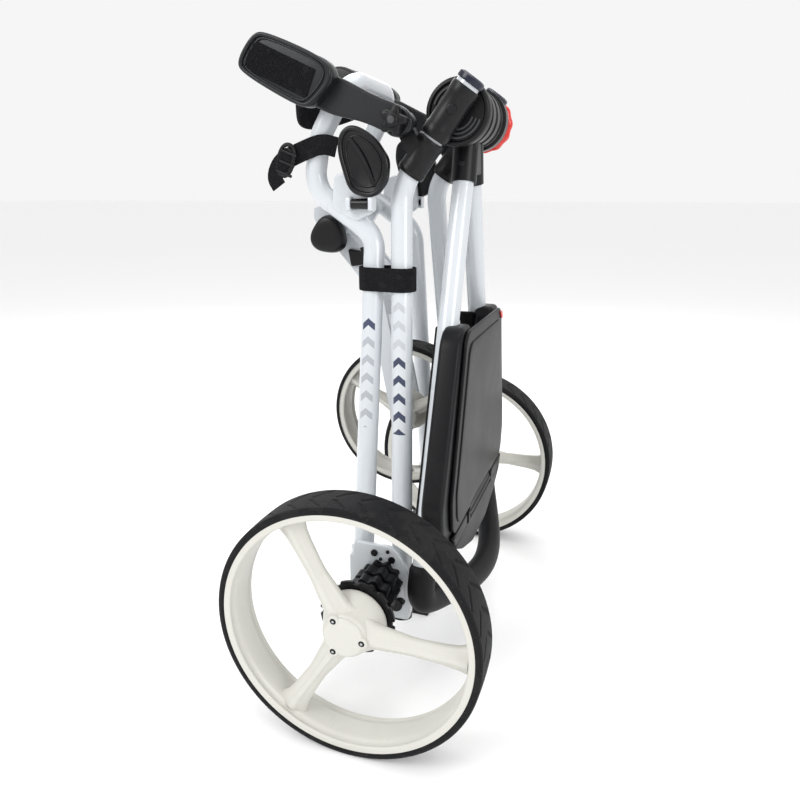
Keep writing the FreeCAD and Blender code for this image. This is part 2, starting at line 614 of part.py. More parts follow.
# ---- Webbing: tie strap round two tubes, and the bag strap with its buckle ----
def on_line(a, b, z):
    return a + (b - a) * ((z - a.z) / (b.z - a.z))


STRAP_LOW, STRAP_HIGH = 335, 363
middle_z = (STRAP_LOW + STRAP_HIGH) / 2
near = on_line(LOWER[0], LOWER[1], middle_z)
far = on_line(UPPER_FOOT, UPPER_BEND, middle_z)


def oval(name, radius, low, high):
    """Two cylinders and the web between them, round the left-hand tubes."""
    ends = [rod("%s_end_%d" % (name, i), "%g" % radius, at(p.x, -p.y, low), at(p.x, -p.y, high))
            for i, p in enumerate((near, far))]
    gap = Vector(far.x - near.x, -far.y + near.y, 0)
    web = doc.addObject("Part::Box", name + "_web")
    web.Length, web.Width, web.Height = gap.Length, 2 * radius, high - low
    turn = Rotation(Vector(1, 0, 0), gap)
    web.Placement = Placement(at(near.x, -near.y, low) - turn.multVec(Vector(0, radius, 0)), turn)
    return fuse(name, web, *ends)


strap = cut("tie_strap", oval("tie_outer", TUBE_R + 4.9, STRAP_LOW, STRAP_HIGH),
            oval("tie_inner", TUBE_R + 2.9, STRAP_LOW - 1, STRAP_HIGH + 1))
node("tie_strap", strap)
node("bag_strap", plate("bag_strap", [(-138, 474), (-76, 498), (-82, 518), (-144, 496)],
                        -91.5, -89))
node("strap_buckle", plate("strap_buckle", [(-156, 468), (-140, 462), (-128, 494), (-144, 500)],
                           -98, -92))

doc.recompute()
os.makedirs("parts", exist_ok=True)
for item in doc.Objects:
    if "Invalid" in item.State or "Error" in item.State:
        raise SystemExit("%s failed: %s" % (item.Label, item.State))
for item in NODES:
    if item.Shape.isNull() or not item.Shape.isValid():
        raise SystemExit("%s has no valid shape" % item.Label)
for item in NODES:
    item.Shape.exportStep("parts/%s.step" % item.Label)
print(len(NODES), "sub-parts")
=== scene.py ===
import math
import bmesh
import bpy
import numpy as np
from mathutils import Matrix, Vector


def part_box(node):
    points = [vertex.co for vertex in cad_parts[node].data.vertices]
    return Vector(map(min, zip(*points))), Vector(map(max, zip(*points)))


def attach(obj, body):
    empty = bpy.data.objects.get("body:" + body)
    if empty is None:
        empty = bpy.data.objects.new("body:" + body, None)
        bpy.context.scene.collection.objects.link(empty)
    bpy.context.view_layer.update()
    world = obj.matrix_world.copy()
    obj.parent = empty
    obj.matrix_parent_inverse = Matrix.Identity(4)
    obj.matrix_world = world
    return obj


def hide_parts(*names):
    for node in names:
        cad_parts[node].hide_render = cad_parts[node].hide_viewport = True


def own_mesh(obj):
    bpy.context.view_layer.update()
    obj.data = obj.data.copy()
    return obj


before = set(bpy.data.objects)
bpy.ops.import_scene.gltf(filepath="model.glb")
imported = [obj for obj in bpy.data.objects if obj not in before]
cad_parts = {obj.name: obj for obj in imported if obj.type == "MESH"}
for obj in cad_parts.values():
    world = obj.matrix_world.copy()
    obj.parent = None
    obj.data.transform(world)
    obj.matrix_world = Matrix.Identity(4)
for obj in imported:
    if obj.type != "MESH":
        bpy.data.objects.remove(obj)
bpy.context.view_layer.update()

# ---- Studio and camera ----
# The trolley stands folded on a pale floor, lit by large soft boxes from the front, one
# side, above and behind.  Places are given in millimetres from the middle of the rear wheel axis.
wheel_low, wheel_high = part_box("tyre_left")
AXLE = np.array([(wheel_low.x + wheel_high.x) / 2, 0.0, (wheel_low.z + wheel_high.z) / 2])


def spot(x, y, z):
    """Millimetres from the rear axle to metres in the frame, for numbers or whole arrays."""
    return np.stack(np.broadcast_arrays(x, y, z), axis=-1) / 1000.0 + AXLE


def aim(thing, here, there):
    """Put a camera or lamp at one point, turned to look at another."""
    thing.location = here
    thing.rotation_euler = (Vector(there) - Vector(here)).to_track_quat("-Z", "Y").to_euler()
    bpy.context.scene.collection.objects.link(thing)


eye = spot(248.8, -825.0, 442.7)
camera = bpy.data.objects.new("camera", bpy.data.cameras.new("camera"))
camera.data.lens = 29.93
camera.data.clip_start = 0.02
aim(camera, eye, eye + np.array([-0.3110, 0.9036, -0.2945]))
bpy.context.scene.camera = camera


def soft_box(name, here, width, power, tint=(1.0, 1.0, 1.0)):
    """A square lamp of a width in metres and a power in watts, aimed at the trolley's middle."""
    lamp = bpy.data.lights.new(name, "AREA")
    lamp.shape, lamp.size, lamp.energy, lamp.color = "SQUARE", width, power, tint
    aim(bpy.data.objects.new(name, lamp), here, (0.0, 0.0, 0.35))


soft_box("key", (-1.3, -1.7, 1.9), 1.2, 30)
soft_box("side", (1.9, -1.1, 1.2), 1.0, 16)
soft_box("overhead", (0.2, 0.3, 2.4), 1.6, 14)
soft_box("behind", (-0.9, 2.0, 1.5), 1.2, 10)
bpy.context.scene.view_settings.view_transform = "Standard"
world = bpy.data.worlds.new("studio")
world.use_nodes = True
world.node_tree.nodes["Background"].inputs["Color"].default_value = (1.0, 1.0, 1.0, 1.0)
world.node_tree.nodes["Background"].inputs["Strength"].default_value = 0.92
bpy.context.scene.world = world


# ---- White painted tubes ----
# The frame is bent aluminium tube, sprayed a cool white under clear lacquer.  The two left
# tubes carry rows of small chevrons.  The CAD tubes stay; only their finish is made here.
class Wire:
    """A number running between nodes; arithmetic on it adds Math nodes."""

    def __init__(self, finish, socket):
        self.finish, self.socket = finish, socket

    def calc(self, operation, *others, first=None):
        """One Math node on this wire and the others; first goes before this wire."""
        values = [self if first is None else first, *others]
        return self.finish.node("Math", {i: v for i, v in enumerate(values)}, operation=operation)

    def __add__(self, other):
        return self.calc("ADD", other)

    def __sub__(self, other):
        return self.calc("SUBTRACT", other)

    def __rsub__(self, other):
        return self.calc("SUBTRACT", self, first=other)

    def __mul__(self, other):
        return self.calc("MULTIPLY", other)

    def __truediv__(self, other):
        return self.calc("DIVIDE", other)

    def __abs__(self):
        return self.calc("ABSOLUTE")

    def over(self, edge):
        """1 where the number is above the edge, 0 elsewhere."""
        return self.calc("GREATER_THAN", edge)

    def between(self, low, high):
        """1 from low to high, 0 elsewhere."""
        return self.over(low) * (1 - self.over(high))

    def turns(self):
        """The part after the decimal point, which runs from 0 to 1 again and again."""
        return self.calc("FRACT")

    __radd__, __rmul__ = __add__, __mul__


class Finish:
    """One material on a Principled shader, built up node by node."""

    def __init__(self, name, colour, roughness, **fixed):
        self.material = bpy.data.materials.new(name)
        self.material.use_nodes = True
        self.tree = self.material.node_tree
        self.shader = self.tree.nodes["Principled BSDF"]
        self.colour = (*colour, 1.0)
        self.feed(self.shader, "Base Color", self.colour)
        self.feed(self.shader, "Roughness", roughness)
        for socket, value in fixed.items():
            self.feed(self.shader, socket.replace("_", " "), value)
        self.place = self.node("TexCoord", out="Object")

    def feed(self, node, key, value):
        """Link a wire to a socket, or set the socket to a plain value."""
        if isinstance(value, Wire):
            self.tree.links.new(value.socket, node.inputs[key])
        else:
            node.inputs[key].default_value = value

    def node(self, kind, inputs=None, out=0, stops=(), **settings):
        """Add a node: its settings first, then its ramp stops, then its sockets."""
        made = self.tree.nodes.new("ShaderNode" + kind)
        for key, value in settings.items():
            setattr(made, key, value)
        for i, (at, shade) in enumerate(stops):
            stop = made.color_ramp.elements[i] if i < 2 else made.color_ramp.elements.new(at)
            stop.position, stop.color = at, (shade, shade, shade, 1.0)
        for key, value in (inputs or {}).items():
            self.feed(made, key, value)
        return Wire(self, made.outputs[out])

    def noise(self, scale, detail=3.0, stretch=(1.0, 1.0, 1.0)):
        """Soft random patches; stretch scales the pattern along each axis."""
        where = self.node("Mapping", {"Vector": self.place, "Scale": stretch})
        return self.node("TexNoise", {"Vector": where, "Scale": scale, "Detail": detail})

    def axis(self, name):
        """One coordinate of the place, X, Y or Z."""
        return self.node("SeparateXYZ", {0: self.place}, out=name)

    def mix(self, mask, low, high):
        """Blend two colours, the first where the mask is 0 and the second where it is 1."""
        return self.node("Mix", {0: mask, 6: low, 7: high}, out=2, data_type="RGBA")

    def tint(self, mask, other):
        """Lay another colour over the base where the mask is 1."""
        self.colour = self.mix(mask, self.colour, (*other, 1.0))
        self.feed(self.shader, "Base Color", self.colour)

    def wear(self, mask, low, high):
        """Roughness from low to high as the mask goes from 0 to 1."""
        self.feed(self.shader, "Roughness", mask * (high - low) + low)

    def bump(self, height, depth):
        """Raise the surface by a height from 0 to 1 times a depth in metres."""
        bump = self.node("Bump", {"Height": height, "Distance": depth, "Strength": 1.0})
        self.feed(self.shader, "Normal", bump)


def paint(name, colour=(0.55, 0.58, 0.61)):
    """Lacquered white: orange peel, a few dull patches with a faint grey cast, and fine grey scuffs."""
    made = Finish(name, colour, 0.22, Coat_Weight=0.6, Coat_Roughness=0.08)
    patches = made.noise(9.0)
    made.tint(patches.between(0.62, 1.0) * 0.10, (0.50, 0.52, 0.55))
    scuffs = made.noise(160.0, 4.0, (1.0, 1.0, 0.08))
    made.tint(scuffs.over(0.72) * 0.22, (0.40, 0.42, 0.44))
    made.wear(patches, 0.16, 0.34)
    made.bump(made.noise(700.0, 2.0), 0.00008)
    return made


def chevrons(made, at_foot, drift, low, high, shade, pitch=21.0):
    """A column of small chevrons up the outside of a leaning tube, between two heights."""
    across = (made.axis("X") - float(AXLE[0])) * 1000.0
    up = (made.axis("Z") - float(AXLE[2])) * 1000.0
    off = abs(across - (up * drift + at_foot))
    stroke = ((up + off * 0.9) / pitch).turns().between(0.12, 0.50)
    outside = 1 - made.axis("Y").over(-0.070)
    made.tint(stroke * (1 - off.over(7.5)) * up.between(low, high) * outside, shade)


white = paint("white_lacquer")
lower_white = paint("white_lacquer_lower")
chevrons(lower_white, -33.2, -0.0175, 176.0, 284.0, (0.36, 0.38, 0.41))
chevrons(lower_white, -33.2, -0.0175, 289.0, 309.0, (0.03, 0.04, 0.09))
upper_white = paint("white_lacquer_upper")
chevrons(upper_white, 15.7, -0.054, 171.0, 262.0, (0.02, 0.03, 0.07))
chevrons(upper_white, 15.7, -0.054, 268.0, 332.0, (0.44, 0.46, 0.49))
painted = {"lower_tube_left": lower_white, "upper_tube_left": upper_white}
for name in ("lower_tube_left", "lower_tube_right", "upper_tube_left", "upper_tube_right",
             "handle_tube_left", "handle_tube_right", "bag_hoop", "fork_bracket", "front_fork"):
    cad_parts[name].data.materials.clear()
    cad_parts[name].data.materials.append(painted.get(name, white).material)


# ---- Wheel rims and spokes ----
# Each wheel is one off-white nylon casting: a deep barrel with a rolled lip, and three
# ridged spokes that swell into the hub.  A round cap with three screws closes the hub.
def patch(grid, ring=True, close=False, ends=True):
    """Points and quads of a grid.  ring joins its columns round, close joins its rows round."""
    rows, cols = grid.shape[:2]
    index = np.arange(rows * cols).reshape(rows, cols)
    if ring:
        index = np.column_stack([index, index[:, :1]])
    if close:
        index = np.vstack([index, index[:1]])
    corners = [index[:-1, :-1], index[:-1, 1:], index[1:, 1:], index[1:, :-1]]
    faces = np.stack(corners, axis=-1).reshape(-1, 4).tolist()
    if ends and not close:
        faces += [index[0, :cols][::-1].tolist(), index[-1, :cols].tolist()]
    return grid.reshape(-1, 3), faces


def piece(name, body, finish, patches, stands_for=(), sharp=38.0):
    """One mesh from several patches, with a finish, riding on a body of the frame."""
    points, faces, start = [], [], 0
    for spots, quads in patches:
        points.append(spots)
        faces += [[i + start for i in quad] for quad in quads]
        start += len(spots)
    mesh = bpy.data.meshes.new(name)
    mesh.from_pydata(np.concatenate(points).tolist(), [], faces)
    shaped = bmesh.new()
    shaped.from_mesh(mesh)
    bmesh.ops.recalc_face_normals(shaped, faces=shaped.faces)
    shaped.to_mesh(mesh)
    shaped.free()
    mesh.shade_smooth()
    mesh.set_sharp_from_angle(angle=math.radians(sharp))
    mesh.materials.append(finish.material)
    made = bpy.data.objects.new(name, mesh)
    bpy.context.scene.collection.objects.link(made)
    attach(made, body)
    if stands_for:
        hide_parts(*stands_for)
    return made


def soften(points, times=2, closed=True):
    """Cut every corner at a quarter and three quarters of its runs, several times over."""
    points = np.asarray(points, float)
    for _ in range(times):
        after = np.roll(points, -1, axis=0) if closed else points[1:]
        before = points if closed else points[:-1]
        cuts = np.stack([before * 0.75 + after * 0.25, before * 0.25 + after * 0.75], axis=1)
        cuts = cuts.reshape(-1, points.shape[1])
        points = cuts if closed else np.vstack([points[:1], cuts, points[-1:]])
    return points


def rounded(outline, radius, steps=6):
    """Replace each corner of a closed outline by a curve that starts a radius away from it."""
    outline = np.asarray(outline, float)
    before, after = np.roll(outline, 1, axis=0) - outline, np.roll(outline, -1, axis=0) - outline
    reach = [np.linalg.norm(side, axis=1) for side in (before, after)]
    cut = np.minimum(radius, 0.46 * np.minimum(*reach))[:, None]
    start = outline + before / reach[0][:, None] * cut
    finish = outline + after / reach[1][:, None] * cut
    t = np.linspace(0, 1, steps)[None, :, None]
    curve = ((1 - t) ** 2 * start[:, None] + 2 * t * (1 - t) * outline[:, None]
             + t ** 2 * finish[:, None])
    return curve.reshape(-1, outline.shape[1])


def turned(profile, centre, steps=96, wobble=None):
    """Spin (along, radius) pairs about a crosswise axis; wobble changes the radius by angle."""
    angle = np.linspace(0, 2 * math.pi, steps, endpoint=False)[None, :]
    along, radius = profile[:, 0][:, None], profile[:, 1][:, None]
    if wobble is not None:
        radius = wobble(angle, along, radius)
    x, y, z = centre
    return spot(x + radius * np.cos(angle), y + along + 0 * angle, z + radius * np.sin(angle))


def plastic(name, colour, roughness, grain, depth, scuff=0.12, **fixed):
    """Moulded plastic: fine spark-eroded grain, cloudy gloss and a few pale scuffs."""
    made = Finish(name, colour, roughness, **fixed)
    clouds = made.noise(14.0, 4.0)
    scratches = made.noise(210.0, 3.0, (1.0, 0.15, 0.4))
    pale = tuple(min(1.0, c + scuff) for c in colour)
    made.tint(scratches.over(0.70) * 0.35, pale)
    made.tint(clouds.between(0.56, 1.0) * 0.12, pale)
    made.wear(clouds, roughness - 0.07, roughness + 0.10)
    made.bump(made.noise(grain, 2.0), depth)
    return made


nylon = plastic("wheel_nylon", (0.57, 0.56, 0.515), 0.36, 900.0, 0.00006, -0.10)
zinc = plastic("zinc_screw", (0.50, 0.51, 0.53), 0.34, 1500.0, 0.00004, Metallic=1.0)
black = plastic("satin_black", (0.005, 0.005, 0.006), 0.34, 1100.0, 0.00006, 0.012,
                Specular_IOR_Level=0.24)


def rim_patch(centre, lip, barrel, half):
    """Barrel profile: a flat lip, a rolled step and a gently waisted inside wall."""
    wall = [(-half, lip), (-half, lip - 6.2), (-half + 1.8, lip - 7.4), (-half + 3.6, lip - 6.8),
            (-half + 4.6, barrel + 3.6), (-half + 8, barrel + 3), (-half + 12, barrel),
            (half - 12, barrel), (half - 8, barrel + 3), (half - 4.6, barrel + 3.6),
            (half - 3.6, lip - 6.8), (half - 1.8, lip - 7.4), (half, lip - 6.2), (half, lip)]
    inner = soften(wall, 2, closed=False)
    return patch(turned(inner, centre, 160), close=True)


def spoke_patch(centre, reach, turn, out, root):
    """A spoke as a soft lens section carried out along a radius, wide at both ends."""
    run = np.linspace(0, 1, 30)
    width = np.interp(run, [0, 0.18, 0.5, 0.80, 0.92, 1], [root, 15, 10.5, 12, 14, 18]) * reach / 132
    face = np.interp(run, [0, 0.2, 0.6, 0.9, 1], [20, 18.5, 15.5, 16, 17])
    back = np.interp(run, [0, 0.2, 0.6, 0.9, 1], [-12, -8, -2, -4, -9])
    angle = np.linspace(0, 2 * math.pi, 48, endpoint=False)
    side = np.sign(np.cos(angle)) * np.abs(np.cos(angle)) ** 0.75
    lift = np.sign(np.sin(angle)) * np.abs(np.sin(angle)) ** 0.8
    ridge = 0.86 - 0.30 * np.abs(side) ** 1.5 + 0.14 * (np.abs(side) < 0.32)
    radial = (8 + run * (reach - 7.5))[:, None] + 0 * side
    u = width[:, None] * side
    middle, thick = (face + back) / 2, (face - back) / 2
    y = out * (middle[:, None] + thick[:, None] * lift * ridge)
    x = radial * math.cos(turn) - u * math.sin(turn)
    z = radial * math.sin(turn) + u * math.cos(turn)
    return patch(spot(centre[0] + x, centre[1] + y, centre[2] + z))


def disc_patch(centre, out, radius, base, top, edge=1.5, steps=64):
    """A button with a rounded rim, its face looking outwards from base to top."""
    profile = soften([(base, radius), (top - edge, radius), (top, radius - edge), (top, 0.4)],
                     2, closed=False)
    profile = np.vstack([[(base, 0.4)], profile])
    profile[:, 0] *= out
    return patch(turned(profile, centre, steps))


def wheel_centre(tag, body, centre, lip, barrel, half, out, turn, hub, stands_for, cap=None):
    """Rim, spokes and hub of one wheel, and the hub cap with its screws."""
    boss = soften([(-17, hub * 0.9), (-17, hub * 1.42), (-8, hub * 1.40), (4, hub * 1.18),
                   (12, hub * 1.04), (18, hub - 1), (19, hub - 4)], 2, closed=False)
    boss = np.vstack([[(-17, 9)], boss, [(19, 9)]]) * (out, 1)
    spokes = [spoke_patch(centre, barrel, math.radians(turn + 120 * i), out, hub * 1.12)
              for i in range(3)]
    piece("wheel_casting_" + tag, body, nylon,
          [rim_patch(centre, lip, barrel, half), patch(turned(boss, centre, 72)), *spokes],
          stands_for)
    dish = [disc_patch(centre, out, hub - 2.5, 16, 22.2, 2.4)]
    screws, rings = [], []
    for i in range(3):
        lean = math.radians(turn + 120 * i)
        x, z = centre[0] + 21.5 * math.cos(lean), centre[2] + 21.5 * math.sin(lean)
        dish.append(disc_patch((x, centre[1], z), out, 6.4, 16, 22.4, 1.0, 32))
        screws.append(disc_patch((x, centre[1], z), out, 3.6, 20, 23.0, 0.6, 24))
        rings.append(disc_patch((x, centre[1], z), out, 1.5, 22, 23.3, 0.3, 6))
    if cap:
        piece("hub_cover_" + tag, body, nylon, dish, cap)
        piece("hub_screws_" + tag, body, black, screws)
        piece("hub_sockets_" + tag, body, zinc, rings)


half_width = (wheel_high.y - wheel_low.y) * 500.0
track = -(wheel_high.y + wheel_low.y) * 500.0
for tag, out in (("left", -1), ("right", 1)):
    wheel_centre(tag, "wheel_" + tag, (0, out * track, 0), 141.5, 132.0, half_width - 1, out, -2.0,
                 26.0, ("rim_" + tag, "spokes_" + tag), ("hub_cap_" + tag,))
FRONT = (-25, 0, 158)
wheel_centre("front", "front_wheel", FRONT, 92.7, 85.0, 20.0, -1, 30.0, 20.0,
             ("front_rim", "front_spokes"))

# ---- Tyres ----
# Solid black rubber bands with a low crown.  Slanted grooves meet in a V along the middle,
# and a smooth shoulder rib runs next to each edge.  Dust pales the tread a little.
rubber = Finish("tyre_rubber", (0.004, 0.004, 0.005), 0.55, Specular_IOR_Level=0.18)
dust = rubber.noise(24.0, 5.0)
rubber.tint(dust.between(0.56, 1.0) * 0.3, (0.022, 0.021, 0.020))
rubber.tint(rubber.noise(420.0, 2.0).over(0.66) * 0.3, (0.05, 0.048, 0.045))
rubber.wear(dust, 0.48, 0.78)
rubber.bump(rubber.noise(1300.0, 3.0), 0.00012)


def tyre(name, body, centre, lip, outer, half, grooves, stands_for):
    """A low-crowned band whose radius drops inside slanted grooves, mirrored about the middle."""
    crown = np.linspace(-half + 2.6, half - 2.6, 30)
    top = np.column_stack([crown, outer - 0.7 * (crown / half) ** 2])
    shoulder = [(half - 1.2, outer - 1.4), (half - 0.1, outer - 3.6), (half, outer - 6.0),
                (half - 0.9, lip), (half - 3.0, lip - 0.4)]
    profile = np.vstack([top, shoulder, np.array(shoulder)[::-1] * (-1, 1)])

    def tread(angle, along, radius):
        """Cut the crown in chevron grooves, whose phase shifts with the distance off centre."""
        inside = (np.abs(along) < half - 5.0) & (np.abs(along) > 3.0)
        phase = (angle * grooves / (2 * math.pi) + np.abs(along) / half * 0.9) % 1.0
        cut = (phase < 0.15) & inside & (radius > outer - 2.5)
        return radius - 0.9 * cut

    piece(name, body, rubber,
          [patch(turned(profile, centre, grooves * 26, tread), close=True)], stands_for, 30.0)


for tag, out in (("left", -1), ("right", 1)):
    tyre("tyre_band_" + tag, "wheel_" + tag, (0, out * track, 0), 141.5, 149.8, half_width, 34,
         ("tyre_" + tag,))
tyre("tyre_band_front", "front_wheel", FRONT, 92.7, 98.4, 21.0, 24, ("front_tyre",))

# ---- Hub carriers and brake rings ----
# Black glass-filled nylon barrels hold the stub axles.  Lobes and ribs stiffen them, and the
# scalloped ring beside each wheel is what the parking brake catches.
for tag, out in (("left", -1), ("right", 1)):
    shank = np.array([(166, 0.5), (166, 24), (174, 24), (175, 21), (181, 21), (182, 26), (196, 26),
                      (197, 22), (201, 22), (202, 26), (215, 26), (216, 22), (219, 22),
                      (220, 25), (226, 25), (228, 22), (228, 8), (276, 8), (277, 7), (277, 0.5)],
                     float)

    def lobes(angle, along, radius):
        """Ten cosine lobes round the thicker bands of the barrel."""
        return radius + 2.2 * np.cos(10 * angle) * (radius > 20.5)

    piece("hub_barrel_" + tag, "lower_frame", black,
          [patch(turned(shank * (out, 1), (0, 0, 0), 144, lobes))], ("hub_carrier_" + tag,))

    def scallops(angle, along, radius):
        """Twelve shallow bites out of the plate's edge."""
        return radius - 3.0 * (np.abs(np.sin(6 * angle)) < 0.45) * (radius > 36.0)

    plate = np.array([(244.1, 8.3), (244.1, 43.5), (244.5, 44), (247.5, 44), (247.9, 43.5),
                      (247.9, 8.3)])
    piece("brake_plate_" + tag, "wheel_" + tag, black,
          [patch(turned(plate * (out, 1), (0, 0, 0), 200, scallops))], ("brake_ring_" + tag,))


# ---- Axle brackets ----
# White die-cast sector plates join the two frame tubes at each side of the axle.  Each has a
# raised rim, the fold bolt at its rear corner and two small screws.
def area(outline):
    """Half the sum of the cross products of neighbours: above 0 for an anticlockwise outline."""
    x, y = outline[:, 0], outline[:, 1]
    return (x * np.roll(y, -1) - y * np.roll(x, -1)).sum() / 2


def side_on(u, v, w):
    """An outline seen from the side: u along the trolley's length, v up and w across it."""
    return spot(u, w, v)


def face_on(u, v, w):
    """An outline seen from the front: u across the trolley, v up and w along its length."""
    return spot(w, u, v)


def moulding(outline, low, high, edge=1.5, crowns=(0.0, 0.0), lay=side_on):
    """A flat piece from its outline: rounded edges, and faces that swell by the two crowns."""
    outline = np.asarray(outline, float)
    if area(outline) < 0:
        outline = outline[::-1]
    along = np.roll(outline, -1, axis=0) - np.roll(outline, 1, axis=0)
    along /= np.linalg.norm(along, axis=1)[:, None]
    outward = np.column_stack([along[:, 1], -along[:, 0]])
    bend = np.linspace(0, math.pi / 2, 5)
    shrink = np.array([0.04, 0.3, 0.55, 0.78, 0.92])
    scale = np.concatenate([shrink, np.ones(10), shrink[::-1]])
    inset = np.concatenate([np.full(5, edge), edge * (1 - np.sin(bend)),
                            edge * (1 - np.cos(bend)), np.full(5, edge)])
    depth = np.concatenate([low - crowns[0] * (1 - shrink ** 2), low + edge * (1 - np.cos(bend)),
                            high - edge * (1 - np.sin(bend)),
                            high + crowns[1] * (1 - shrink[::-1] ** 2)])
    middle = outline.mean(axis=0)
    flat = outline[None] - outward[None] * inset[:, None, None]
    flat = middle + (flat - middle) * scale[:, None, None]
    return patch(lay(flat[..., 0], flat[..., 1], depth[:, None] + 0 * flat[..., 0]))


sector = rounded([(-38, -20), (-28.5, -45), (6, -51), (34, -51), (35, -36), (35, 0), (31.8, 14.3),
                  (24.8, 31), (12.3, 44.3), (-37.3, 44.3)], 9)
for tag, out in (("left", -1), ("right", 1)):
    web = moulding(sector, *sorted((out * 160.6, out * 166.6)), 1.0)
    step = rounded([(-14, -42), (28, -44), (29, -8), (20, 16), (2, 20), (-14, 2)], 8)
    rim = moulding(step, *sorted((out * 165, out * 167.8)), 0.8)
    piece("axle_plate_" + tag, "lower_frame", white, [web, rim])
    heads = [disc_patch((x, 0, z), out, r, 165, 169.2, 0.8, 28)
             for x, z, r in ((-2, 27, 2.2), (7, 38, 2.2), (24, -25, 5.0))]
    piece("bracket_heads_" + tag, "lower_frame", black, heads)
    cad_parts["axle_bracket_" + tag].data.materials.clear()
    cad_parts["axle_bracket_" + tag].data.materials.append(white.material)


# ---- Neck sleeves and the folding hinge ----
# Black moulded sleeves clamp the leaning ends of the upper tubes.  Each hinge disc has a
# raised rim, curved grip ribs and a bolt; navy plugs close the tube ends.
def frames_along(path, up):
    """Side and top directions at each point of a path, from its tangent and a fixed up."""
    tangent = np.gradient(path, axis=0)
    tangent /= np.linalg.norm(tangent, axis=1)[:, None]
    side = np.cross(tangent, up)
    side /= np.linalg.norm(side, axis=1)[:, None]
    return side, np.cross(side, tangent)


def carried(path, section, up=(0.0, 0.0, 1.0), closed=False, swell=None):
    """A closed section of (side, top) pairs carried along a path, scaled by swell."""
    path = np.asarray(path, float)
    side, top = frames_along(path, np.asarray(up, float))
    scale = np.ones(len(path)) if swell is None else np.asarray(swell, float)
    size = section[None] * scale[:, None, None]
    grid = path[:, None] + size[..., :1] * side[:, None] + size[..., 1:] * top[:, None]
    return patch(spot(grid[..., 0], grid[..., 1], grid[..., 2]), close=closed)


def oval(wide, tall, power=1.0, count=24):
    """Half sizes of a rounded section; a power under 1 squares its corners."""
    angle = np.linspace(0, 2 * math.pi, count, endpoint=False)
    c, s = np.cos(angle), np.sin(angle)
    return np.column_stack([wide * np.sign(c) * np.abs(c) ** power,
                            tall * np.sign(s) * np.abs(s) ** power])


def flowing(points, count=60, closed=False):
    """A smooth path through softened corners, its points evenly spaced."""
    soft = soften(points, 4, closed)
    if closed:
        soft = np.vstack([soft, soft[:1]])
    run = np.concatenate([[0], np.cumsum(np.linalg.norm(np.diff(soft, axis=0), axis=1))])
    wanted = np.linspace(0, run[-1], count, endpoint=not closed)
    return np.column_stack([np.interp(wanted, run, soft[:, i]) for i in range(soft.shape[1])])


NECK_TOP = np.array([70.7, 68.0, 563.0])
NECK_LEAN = np.array([0.5827, -0.0146, 0.8126])


def neck(distance, out):
    """A point on the leaning end of an upper tube, measured back from its top."""
    spotted = NECK_TOP - NECK_LEAN * np.asarray(distance, float)[..., None]
    return spotted * (1, out, 1)


def collar(out, stations):
    """A round sleeve on the neck from (distance, radius) pairs.

    Known fault: in every call below, the first two pairs share a distance, and so do the last
    two.  The path has no direction there, so both end rings are undefined.
    """
    stations = np.array(stations, float)
    return carried(neck(stations[:, 0], out), oval(1, 1, count=48), (0, 1, 0),
                   swell=stations[:, 1])


navy = plastic("navy_plug", (0.005, 0.007, 0.020), 0.22, 900.0, 0.00003, 0.02,
               Specular_IOR_Level=0.35)
rib_grey = plastic("rib_grey", (0.035, 0.036, 0.038), 0.40, 1100.0, 0.00006, 0.03)
HINGE = (51, 0, 530)
for tag, out in (("left", -1), ("right", 1)):
    upper = collar(out, [(12, 13), (12, 15.2), (13, 16.2), (15, 16.4), (24, 16.4), (25, 15.9),
                         (60, 15.9), (61, 16.5), (70, 16.5), (73, 16.0), (73.6, 15), (73.6, 13)])
    disc = np.array([(41.6, 6), (41.6, 34), (42.6, 36), (56, 36), (57.6, 35), (58.4, 33.6),
                     (58.4, 31.6), (57.4, 30.6), (56.4, 30), (56.4, 6)], float)
    shell = [upper, patch(turned(disc * (out, 1), HINGE, 96))]
    piece("hinge_shell_" + tag, "upper_frame", black, shell,
          ("hinge_housing_" + tag,))
    ribs = []
    for start in (100, 280):
        for radius in (18.0, 22.5, 27.0):
            sweep = np.radians(np.linspace(start - 42, start + 62, 30))
            line = np.column_stack([HINGE[0] + radius * np.cos(sweep),
                                    np.full(30, out * 57.2), HINGE[2] + radius * np.sin(sweep)])
            ribs.append(carried(line, oval(1.3, 1.5, 0.7, 12), (0, 1, 0)))
    piece("hinge_ribs_" + tag, "upper_frame", rib_grey, ribs)
    plug = collar(out, [(8.2, 12), (8.2, 15.4), (6, 15.9), (2, 15.6), (0.6, 14), (0, 11), (0, 2)])
    piece("tube_plug_" + tag, "upper_frame", navy, [plug])
    ring = collar(out, [(12, 12.6), (12, 13.6), (8.3, 13.6), (8.3, 12.6)])
    piece("tube_ring_" + tag, "upper_frame", white, [ring])
    lower = collar(out, [(76, 13), (76, 15), (77, 16), (79, 16.3), (84, 16.3), (85, 15.8),
                         (112, 15.8), (113, 16.4), (118, 16.4), (120, 15.4), (120, 13)])
    piece("clamp_shell_" + tag, "upper_frame", black, [lower])
    for key in ("tube_caps", "cradle_clamp_" + tag, "tube_feet"):
        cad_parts[key].data.materials.clear()
        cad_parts[key].data.materials.append((navy if key == "tube_caps" else black).material)
    lower_x, _, lower_z = neck(99, out)
    heads = [disc_patch((51, 0, 530), out, 5.8, 80, 85.4, 1, 28),
             disc_patch((lower_x, 0, lower_z), out, 3.6, 80, 85.4, 1, 24)]
    piece("neck_screws_" + tag, "upper_frame", black, heads)
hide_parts("tube_caps")

